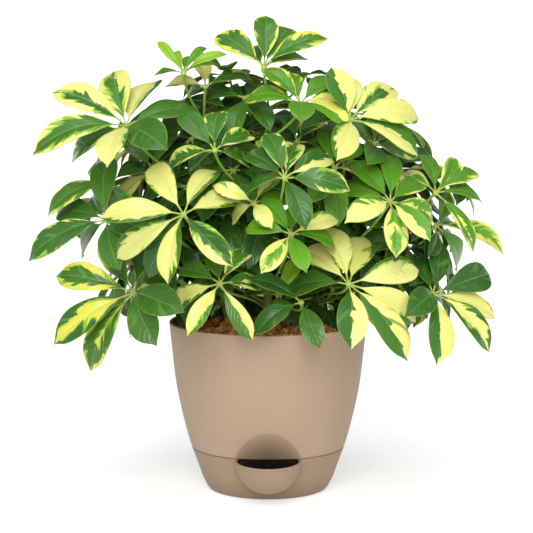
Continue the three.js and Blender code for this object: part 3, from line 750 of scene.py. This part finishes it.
# Each seen whorl's leaflets: the direction from the hub to the tip as seen from the front, in
# degrees, and the letter of its colouring.
seen_looks = [
    "12c 52b 127c 182a 206b 240g 257a 317p",
    "150g 116m 69h 19l 350m 293g 215g",
    "113c 145c 65b 8a 329b 303r 271r 209g",
    "88g 133g 148g 199b 275h 308l 335s 24m",
    "177v 134g 85g 15a 338g 294v 230h",
    "170g 107g 39M 347s 301r 237a 211j",
    "156h 107h 58b 12g 338g 255c 208M 189M",
    "147M 165m 103m 74m 24M 357p 327g",
    "121m 33g 155m 175m 358a 329r 268g",
    "91l 33h 1c 338l 247b 182g 136g",
    "85m 143g 18M 333m 233m 198p 183b",
    "170M 117n 61m 351g 297g 241s 213i",
    "78g 105g 13g 342c 309i 272r 199g",
    "103g 145h 50M 8p 351g 304s 293g 184g",
    "177g 207n 231g 133m 63g 354g 292g",
    "115g 48b 358v 163c 210c 310c",
    "130y 144v 182g 86y 72g 24y 10M",
    "107c 56l 9m 321g 225g 180c 189g",
    "196n 136M 100c 13g 307g 250g",
    "5g 323h 103g 53g 167g 229g 275g",
    "138g 87g 353g 37g 346m 243g 186g",
    "35M 105g 180g 342g 287g 221g",
    "250g 311g 6g 60m 135g 185g",
    "225c 247g 334g 148g 83g 24g",
    "338h 351g 308g 63m 11g 297g 209g",
    "70y 25y 130g 188g 284g",
    "213g 167g 124g 294g",
]
# What sets single whorls apart: yellower cream, a darker skin, slimmer or broader leaflets, and
# how fresh the green is. A trim shortens the leaflets of a whorl that point about one way.
yellow_whorls = {8, 9, 12, 17, 25, 26}
dark_whorls = {1, 8, 10, 12, 15, 18, 20, 23, 27}
slimness = {1: 0.88, 6: 0.88, 7: 1.12, 14: 0.8, 17: 0.6}
trim_within = 18
trims = [
    (3, 271, 0.92), (7, 107, 0.92), (8, 88, 0.9116), (9, 136, 0.9), (10, 91, 0.76),
    (12, 297, 0.8), (21, 43, 0.76), (21, 345, 0.68), (43, 4, 0.55), (44, 170, 0.5),
]
whorl_youths = {
    1: 0.06, 2: 0.1, 3: 0.12, 4: 0.65, 5: 0.75, 6: 0.2, 7: 0.12, 8: 0.22, 9: 0.6, 10: 0.15, 11: 0.2,
    12: 0.06, 13: 0.05, 14: 0.5, 15: 0.1, 18: 0.1, 19: 0.15, 21: 0.25, 23: 0.1, 24: 0.15, 27: 0,
}
letter_youths = {"v": 0.9, "y": 1.45}
# Letters that hidden leaflets draw from: all at the sides and the back, the first 14 inside, and
# the first 8, plain green, on the shaded whorls.
hidden_looks = "ggggggggnnnmmmmmMMMMhlrsvpqabich"


def look_of(number, turn, luck):
    """Colouring letter of a leaflet: by its direction on a seen whorl, else by chance."""
    if number > len(seen_looks):
        kinds = 32 if number <= outer_whorls else 14 if number <= frame_whorls else 8
        return luck.choice(hidden_looks[:kinds])
    marks = [(int(mark[:-1]), mark[-1]) for mark in seen_looks[number - 1].split()]
    return min(marks, key=lambda mark: min(abs(turn - mark[0]), 360 - abs(turn - mark[0])))[1]


most_oblique, most_roll = math.radians(48), math.radians(40)


def faced(chord, side, up):
    """Turns a seen leaflet about its own rib, so that it isn't seen on edge from the front."""
    rib = chord / norm(chord)
    front = np.array([0, -1, 0.12])
    front = front - rib * (front @ rib)
    away = math.atan2(front @ side, front @ up)
    roll = math.copysign(min(max(abs(away) - most_oblique, 0), most_roll), away)
    return (side * math.cos(roll) - up * math.sin(roll),
            up * math.cos(roll) + side * math.sin(roll))


def leaf_finish():
    """Variegated leaf: green with a paler vein net, streaked into cream along the side veins."""
    finish, tree, shader = new_finish("variegated_leaf", Specular_IOR_Level=0.34,
                                      Subsurface_Weight=0.3, Subsurface_Scale=2 * mm)
    place = put(tree, "Attribute", attribute_name="place").outputs["Vector"]
    u, v, top = put(tree, "SeparateXYZ", {0: place}).outputs
    span = put(tree, "Attribute", attribute_name="green_span")
    left_in, left_out, right_in = put(tree, "SeparateXYZ", {0: span.outputs["Vector"]}).outputs
    right_out = span.outputs["Alpha"]
    tone = put(tree, "Attribute", attribute_name="leaf_tone")
    seed, youth, yellow = put(tree, "SeparateXYZ", {0: tone.outputs["Vector"]}).outputs
    shade = tone.outputs["Alpha"]

    def of(operation, *values, clamp=False):
        return sum_of(tree, operation, *values, clamp=clamp)

    def clouds(stretch_u, stretch_v, shift, detail=2.0):
        spot = put(tree, "CombineXYZ", {
            0: of("MULTIPLY", vein_line, stretch_u), 1: of("MULTIPLY", v, stretch_v),
            2: of("MULTIPLY_ADD", seed, 71.0, shift)})
        return cloudy(tree, spot.outputs[0], 1.0, detail, 0.55)

    edge = of("ABSOLUTE", v)
    vein_line = of("MULTIPLY_ADD", edge, -0.26, u)
    wander = of("MULTIPLY_ADD", clouds(4.0, 0.4, 83.0), 1.3, -0.65)
    is_left = ramp(tree, of("ADD", v, wander), 12.0, 0.5)
    inner, outer = (
        put(tree, "Mix", {0: is_left, 2: right, 3: left}, data_type="FLOAT").outputs[0]
        for left, right in ((left_in, right_in), (left_out, right_out)))
    lobes = of("MULTIPLY_ADD", clouds(3.4, 0.7, 0.0, 1.0), 1.8, -0.9)
    flames = of("MULTIPLY_ADD", clouds(11.0, 0.35, 9.0, 3.0), 1.15, -0.575)
    towards_tip = ramp(tree, u, 0.9, -0.58)
    reach = of("ADD", of("ADD", edge, towards_tip), of("ADD", lobes, flames))

    def zone(distance, widened, crisp):
        past_inner = of("ADD", of("SUBTRACT", distance, inner), widened)
        before_outer = of("ADD", of("SUBTRACT", outer, distance), widened)
        return of("MULTIPLY", ramp(tree, past_inner, crisp, 0.5),
                  ramp(tree, before_outer, crisp, 0.5))

    green = zone(reach, 0.0, 28.0)
    step = of("MULTIPLY_ADD", clouds(15.0, 0.4, 23.0, 1.0), 0.6, -0.3)
    core = of("MULTIPLY", green, zone(of("ADD", reach, step), -0.03, 22.0))
    washed = of("MULTIPLY_ADD", clouds(13.0, 0.35, 47.0, 1.0), 1.1, -0.55)
    washed = zone(of("ADD", of("ADD", edge, lobes), washed), 0.2, 8.0)
    where_washed = ramp(tree, clouds(2.2, 0.8, 17.0, 0.0), 7.0, -3.0)

    deep, fresh = (0.022, 0.1, 0.0125, 1), (0.112, 0.33, 0.01, 1)
    lime, sage = (0.34, 0.5, 0.02, 1), (0.12, 0.27, 0.05, 1)
    cream, gold = (0.665, 0.66, 0.22, 1), (0.62, 0.6, 0.05, 1)
    wash, half_green = (0.22, 0.4, 0.035, 1), (0.2, 0.4, 0.045, 1)
    green_edge, stalk_green = (0.1, 0.26, 0.02, 1), (0.33, 0.42, 0.08, 1)
    cream_rib, green_rib = (0.74, 0.7, 0.2, 1), (0.2, 0.36, 0.07, 1)
    underside = (0.22, 0.36, 0.1, 1)
    mottled, shadowed = (0.72, 0.76, 0.62, 1), (0.42, 0.5, 0.42, 1)
    leafy = blended(tree, of("MULTIPLY", youth, 1.0, clamp=True), deep, fresh)
    leafy = blended(tree, of("SUBTRACT", youth, 1.0, clamp=True), leafy, lime)
    patch = ramp(tree, clouds(7.0, 0.7, 31.0), 9.0, -5.3)
    leafy = blended(tree, of("MULTIPLY", patch, 0.6), leafy, sage)
    pale = blended(tree, yellow, cream, gold)
    island = ramp(tree, clouds(6.0, 0.5, 59.0, 0.0), 12.0, -9.0)
    pale = blended(tree, of("MULTIPLY", washed, where_washed), pale, wash)
    pale = blended(tree, of("MULTIPLY", island, 0.8), pale, leafy)
    between = blended(tree, 0.6, leafy, half_green)
    colour = blended(tree, core, blended(tree, green, pale, between), leafy)
    hairline = ramp(tree, edge, 30.0, -28.6)
    edge_line = blended(tree, green, green_edge, lime)
    colour = blended(tree, of("MULTIPLY", hairline, 0.6), colour, edge_line)

    midrib = ramp(tree, edge, -15.0, 1.0)
    wave = of("PINGPONG", of("MULTIPLY", vein_line, 8.5), 0.5)
    vein = ramp(tree, wave, -11.0, 1.0)
    vein = of("MULTIPLY", vein, ramp(tree, edge, -0.8, 1.0))
    rib_colour = blended(tree, green, cream_rib, green_rib)
    colour = blended(tree, of("MULTIPLY", midrib, 0.52), colour, rib_colour)
    colour = blended(tree, of("MULTIPLY", vein, 0.15), colour, rib_colour)
    under = of("MULTIPLY_ADD", top, -0.35, 0.35)
    colour = blended(tree, of("MULTIPLY", under, green), colour, underside)
    mottle = cloudy(tree, put(tree, "TexCoord").outputs["Object"], 90.0, 3.0)
    mottling = ramp(tree, mottle, 0.5, -0.1)
    colour = blended(tree, mottling, colour, mottled, "MULTIPLY")
    # Painted shade: the leaf_tone's last value darkens the colour, most on the whorls deep in the
    # crown.
    colour = blended(tree, shade, colour, shadowed, "MULTIPLY")
    on_stalk = ramp(tree, u, -30.0, 0.0)
    colour = blended(tree, on_stalk, colour, stalk_green)
    rough = of("MULTIPLY_ADD", mottle, 0.16, 0.23)
    rough = of("ADD", rough, of("MULTIPLY", under, 1.5))
    bulge = of("POWER", of("MULTIPLY", wave, 2.0), 0.6)
    bulge = of("MULTIPLY_ADD", midrib, -0.5, bulge)
    bulge = of("MULTIPLY_ADD", mottle, 0.3, bulge)
    wired(tree, shader, colour, bulge, strength=0.55, depth=0.42, rough=rough)
    return finish


lowest_shaded = 207


def shaded_whorl(place, luck):
    """An old whorl in the shade of the crown, like those of the frame but facing any way up."""
    hub = np.array(place, float)
    axis = np.array([0.9 * hub[0] / 150 + luck.gauss(0, 0.25), -0.55 + luck.gauss(0, 0.25), 0.8])
    axis /= norm(axis)
    across_axis = np.cross((0.1, 0.2, 1), axis)
    across_axis /= norm(across_axis)
    over_axis = np.cross(axis, across_axis)
    count, start = luck.choice((5, 6, 7)), luck.uniform(0, math.tau)
    room = min(1, (hub[2] - lowest_shaded) / 80)
    leaflets = []
    for k in range(count):
        turn = start + math.tau * (k + luck.uniform(-0.15, 0.15)) / count
        out = across_axis * math.cos(turn) + over_axis * math.sin(turn)
        chord = (out - axis * luck.uniform(0.15, 0.45) * room) * luck.uniform(56, 78)
        side = np.cross(axis, chord)
        side /= norm(side)
        up = np.cross(chord / norm(chord), side)
        side, up = (side, up) if up @ axis > 0 else (-side, -up)
        leaflets.append((chord, side, up, luck.uniform(0.07, 0.13), norm(chord)))
    return hub, axis, leaflets


# Whorls that the frame leaves out, deep in the crown, where they close the gaps between stems.
shaded_places = [
    (-92, -42, 372), (-40, -62, 392), (-50, -30, 345), (-46, 40, 292), (-34, 45, 245),
    (78, -25, 248), (112, -42, 300), (165, -10, 300), (60, 10, 405), (-130, -30, 330),
    (-60, 70, 300), (20, 80, 330), (70, 80, 270), (-100, 60, 235), (8, 30, 420),
    (-30, -10, 430), (90, 10, 375), (-5, -70, 345), (-165, 30, 300), (150, 20, 255),
    (-66, -45, 278), (25, -30, 385), (100, 60, 400), (-60, 20, 440), (-92, 10, 425),
    (-140, 10, 385), (-138, -10, 350), (195, 10, 285), (190, 20, 340), (155, 25, 385),
    (112, 5, 318), (64, 10, 226), (-66, 50, 462), (-110, 40, 465), (40, 40, 440),
    (42, 30, 250), (-118, 0, 300), (-110, 85, 380), (-60, 100, 400), (0, 110, 390),
    (60, 100, 410), (125, 85, 370), (-120, 85, 290), (-60, 110, 285), (5, 110, 290),
    (65, 110, 290), (130, 85, 295), (-90, 75, 234), (0, 95, 236), (88, 80, 234),
    (172, 55, 330), (-172, 55, 345), (150, -25, 262), (205, 0, 312), (168, 10, 292),
    (150, -5, 392), (45, 92, 226), (-45, 92, 226), (84, 0, 300), (-150, 20, 392),
]
variegated = leaf_finish()
leafy_crease = 50
whorl_hubs = []
for number in range(1, frame_whorls + len(shaded_places) + 1):
    node_name = f"leaf_{number:02d}"
    in_frame = number <= frame_whorls
    if in_frame:
        hub, axis, leaflets = whorl_of(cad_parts[node_name])
    else:
        place = shaded_places[number - frame_whorls - 1]
        hub, axis, leaflets = shaded_whorl(place, random.Random(900 + number))
    whorl_hubs.append((hub, axis))
    luck = random.Random(500 + number)
    points, faces, places, spans, tones = [], [], [], [], []
    count = 0
    whorl_youth = luck.uniform(0.1, 0.6) if number <= outer_whorls else luck.uniform(0, 0.2)
    whorl_youth = whorl_youths.get(number, whorl_youth)
    for chord, side, up, arch, breadth in leaflets:
        breadth *= slimness.get(number, 1)
        turn = math.degrees(math.atan2(chord[2], chord[0])) % 360
        for trimmed, trimmed_turn, share in trims:
            if number == trimmed and abs(turn - trimmed_turn) < trim_within:
                chord = share * chord
        if number <= len(seen_looks):
            side, up = faced(chord, side, up)
        points.append(blade_points(hub, chord, side, up, arch, breadth, luck))
        faces.extend((sheet_faces + count).tolist())
        count += len(sheet_corners)
        places.append(np.column_stack([blade_share, across, is_top]))
        letter = look_of(number, turn, luck)
        youth = letter_youths.get(letter, whorl_youth + luck.uniform(-0.05, 0.2))
        yellow = luck.uniform(0.5, 0.9) if number in yellow_whorls else luck.uniform(0, 0.25)
        # The whorls deep in the crown get painted shade. The frame's whorls get a little random
        # darkening, and the darker whorls a little more.
        shade = luck.uniform(0, 0.12) if in_frame else luck.uniform(0.4, 0.9)
        if number in dark_whorls:
            shade += 0.12
        tone = (luck.random(), max(youth, 0), yellow, shade)
        spans.append(np.tile(green_spans[letter], (len(sheet_corners), 1)))
        tones.append(np.tile(tone, (len(sheet_corners), 1)))
    across_axis = np.cross(axis, (0.3, 0.8, 0.1))
    across_axis /= norm(across_axis)
    over_axis = np.cross(axis, across_axis)
    points.append(hub + hub_corners * hub_size @ np.array([across_axis, over_axis, axis]))
    faces.extend(tuple(i + count for i in face) for face in hub_faces)
    places.append(np.tile((-0.3, 0, 1), (len(hub_corners), 1)))
    spans.append(np.tile(green_spans["g"], (len(hub_corners), 1)))
    tones.append(np.tile((0, 0.5, 0, 0), (len(hub_corners), 1)))
    mesh = bpy.data.meshes.new(f"umbrella_{number:02d}")
    mesh.from_pydata((np.concatenate(points) * mm).tolist(), [], faces)
    for layer_name, kind, field, values in (
        ("place", "FLOAT_VECTOR", "vector", places), ("green_span", "FLOAT_COLOR", "color", spans),
        ("leaf_tone", "FLOAT_COLOR", "color", tones),
    ):
        layer = mesh.attributes.new(layer_name, kind, "POINT")
        layer.data.foreach_set(field, np.concatenate(values).ravel())
    umbrella = placed(mesh.name, mesh)
    mesh.materials.append(variegated)
    smoothed(umbrella, leafy_crease)
    if in_frame:
        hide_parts(node_name)
    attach(umbrella, "root")

# Stems and leaf stalks: four upright stems, brown and ringed with leaf scars low down, green
# above. The long leaf stalks grow out of them in a spiral, swollen at the foot and at the hub.
stem_names = ["stem_middle", "stem_left", "stem_right", "stem_back"]
stem_paths = [
    [(1, -12, 201), (-2, -14, 278), (-8, -28, 350), (-12, -22, 425)],
    [(-48, 32, 201), (-68, 40, 290), (-82, 42, 380), (-78, 34, 450)],
    [(50, 28, 201), (76, 33, 290), (92, 34, 370), (84, 28, 425)],
    [(5, 66, 201), (12, 88, 300), (8, 82, 400), (-4, 60, 465)],
]
whorl_stems = [
    0, 0, 2, 2, 0, 0, 1, 0, 0, 2, 0, 1, 2, 2, 1, 0, 1, 1, 1, 0, 2, 0, 3, 1, 2, 0, 0,
    1, 1, 3, 3, 2, 1, 1, 3, 3, 2, 2, 1, 3, 3, 2, 3, 3, 1, 1, 2, 2, 0, 3, 1, 2,
]
for place in shaded_places:
    gaps = [math.dist(place[:2], path[2][:2]) for path in stem_paths]
    whorl_stems.append(gaps.index(min(gaps)))
stem_foot = 160
soil_collar = 198
first_scar = 44
stem_parts = 100
lowest_stalk = 215


def run_along(points):
    """Distance of each point from the first, along their line."""
    return np.concatenate([[0], np.cumsum(norm(np.diff(points, axis=0), axis=1))])


def stem_line(knots, parts=400):
    """Points of the smooth line through a stem's knots, evenly spaced along it."""
    knots = [np.array(knot, float) for knot in knots]
    knots = [2 * knots[0] - knots[1], *knots, 2 * knots[-1] - knots[-2]]
    line = []
    for a, b, c, d in zip(knots, knots[1:], knots[2:], knots[3:]):
        gaps = [norm(q - p) ** 0.5 for p, q in ((a, b), (b, c), (c, d))]
        into = (b - a) / gaps[0] - (c - a) / (gaps[0] + gaps[1]) + (c - b) / gaps[1]
        away = (c - b) / gaps[1] - (d - b) / (gaps[1] + gaps[2]) + (d - c) / gaps[2]
        into, away = into * gaps[1], away * gaps[1]
        for t in np.linspace(0, 1, parts, endpoint=False):
            bend = (2 * b - 2 * c + into + away) * t**3 + (3 * c - 3 * b - 2 * into - away) * t**2
            line.append(b + into * t + bend)
    line.append(knots[-2])
    line = np.array(line)
    run = run_along(line)
    even = np.linspace(0, run[-1], stem_parts + 1)
    return np.column_stack([np.interp(even, run, line[:, k]) for k in range(3)])


def stalk_line(stem, hub, axis, parts=22):
    """Points of a leaf stalk: it leaves the stem up and outwards and meets the hub from below."""
    end = hub - axis * 1.6
    beside = stem[stem_parts * 7 // 10]
    height = end[2] - 0.55 * math.hypot(*(end - beside)[:2]) - 20
    height = min(max(height, lowest_stalk), stem[-1][2] - 6)
    start = stem[int(np.argmax(stem[:, 2] >= height))]
    span = norm(end - start)
    leave = (end - start) * (1, 1, 0)
    leave = leave / norm(leave) * 0.35 * span + (0, 0, 0.22 * span)
    knots = start, start + leave, end - axis * 0.3 * span, end
    t = np.linspace(0, 1, parts)[:, None]
    weights = (1 - t) ** 3, 3 * t * (1 - t) ** 2, 3 * t**2 * (1 - t), t**3
    return sum(weight * knot for weight, knot in zip(weights, knots)), span


def stem_finish(name, low, high, scar):
    """Stem skin: green, turning to corky brown towards the soil, with pale breathing pores."""
    finish, tree, shader = new_finish(name, Roughness=0.55, Specular_IOR_Level=0.35)
    place = put(tree, "TexCoord").outputs["Object"]
    height = put(tree, "SeparateXYZ", {0: place}).outputs[2]
    blur = sum_of(tree, "MULTIPLY_ADD", cloudy(tree, place, 55, 4, 0.6), 0.09, -0.045)
    share = ramp(tree, sum_of(tree, "ADD", height, blur), 12.0, -2.6)
    colour = blended(tree, share, low, high)
    long = put(tree, "Mapping", {0: place, 3: (420, 420, 90)}).outputs[0]
    pores = cloudy(tree, long, 1, 3)
    spots = ramp(tree, pores, 7.0, -4.4)
    colour = blended(tree, spots, colour, scar)
    wired(tree, shader, colour, pores, strength=0.35, depth=0.3)
    return finish


stem_skin = stem_finish("stem_skin", (0.22, 0.26, 0.06, 1), (0.24, 0.4, 0.05, 1),
                        (0.36, 0.33, 0.14, 1))
stalk_skin = stem_finish("stalk_skin", (0.3, 0.42, 0.06, 1), (0.36, 0.5, 0.08, 1),
                         (0.44, 0.55, 0.15, 1))
for index, name in enumerate(stem_names):
    luck = random.Random(70 + index)
    line = stem_line(stem_paths[index])
    growth = new_line(name.replace("stem", "branch"), 3)
    foot = [(*stem_paths[index][0][:2], z) for z in np.linspace(stem_foot, soil_collar, 9)]
    path = np.array([*foot, *line])
    dense = np.linspace(0, len(path) - 1, 3 * len(path))
    path = np.column_stack([np.interp(dense, np.arange(len(path)), path[:, k]) for k in range(3)])
    run = run_along(path)
    thick_up_to = 285 if index == 0 else 215
    slim = np.clip((path[:, 2] - thick_up_to) / 40, 0, 1)
    radii = 5.2 - 1.2 * slim - 0.7 * np.clip((path[:, 2] - 330) / 120, 0, 1)
    for place in np.cumsum([luck.uniform(9, 17) for _ in range(40)]) + first_scar:
        radii = radii + 0.5 * np.exp(-(((run - place) / 1.3) ** 2))
        radii = radii - 0.25 * np.exp(-(((run - place - 3) / 1.8) ** 2))
    radii[-1] = 1.2
    strand(growth, path, radii)
    for whorl, (hub, axis) in enumerate(whorl_hubs):
        if whorl_stems[whorl] != index:
            continue
        points, span = stalk_line(line, hub, axis)
        away = np.linspace(0, 1, len(points)) * span
        widths = 1.55 + 1.7 * np.exp(-away / 6) + 0.9 * np.exp(-(span - away) / 5)
        strand(growth, points, widths, 1)
    branch = placed(growth.name, growth)
    growth.materials.append(stem_skin)
    growth.materials.append(stalk_skin)
    made_mesh(branch)
    smoothed(branch, leafy_crease)
    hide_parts(name)
    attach(branch, "root")

# Studio: one pale floor that sweeps up into a low backdrop all round, dim white light from all
# sides and five broad soft lights: two in front, one overhead and one on each side. The camera
# stands 2.3 m away.
floor_radius = 5200
floor_fold = 950
floor_drop = 0.5
floor = turned(
    "studio_floor",
    [(0, 0), (1200, 0), *arc((floor_radius - floor_fold, floor_fold), floor_fold, -90, 0, 16),
     (floor_radius, 1100)],
    96, (0, 0, -floor_drop),
)
smoothed(floor, 60)
floor.data.materials.append(new_finish(
    "pale_floor", Roughness=0.9, Specular_IOR_Level=0.1, Base_Color=(0.58, 0.58, 0.58, 1),
    Emission_Color=(1, 1, 1, 1), Emission_Strength=0.52)[0])
world = bpy.data.worlds.new("white_room")
bpy.context.scene.world = world
world.use_nodes = True
surround = world.node_tree.nodes["Background"]
surround.inputs["Color"].default_value = (1, 1, 1, 1)
surround.inputs["Strength"].default_value = 0.16
for azimuth, elevation, strength, spread in (
    (-5, 36, 2.2, 34), (3, 14, 1.1, 24), (0, 80, 1.1, 40), (-72, 40, 0.5, 50), (66, 40, 0.55, 50),
):
    bpy.ops.object.light_add(type="SUN")
    lamp = bpy.context.object
    lamp.data.angle = math.radians(spread)
    lamp.data.energy = strength
    lamp.rotation_euler = (math.radians(90 - elevation), 0, math.radians(azimuth))
bpy.context.scene.view_settings.view_transform = "Standard"
eye = Vector((-0.0018, -2.3, 0.5525))
aim = Vector((-0.0018, 0, 0.2711))
bpy.ops.object.camera_add(location=eye, rotation=(aim - eye).to_track_quat("-Z", "Y").to_euler())
camera = bpy.context.object
camera.data.lens = 129.2
camera.data.sensor_width = 36
bpy.context.scene.camera = camera
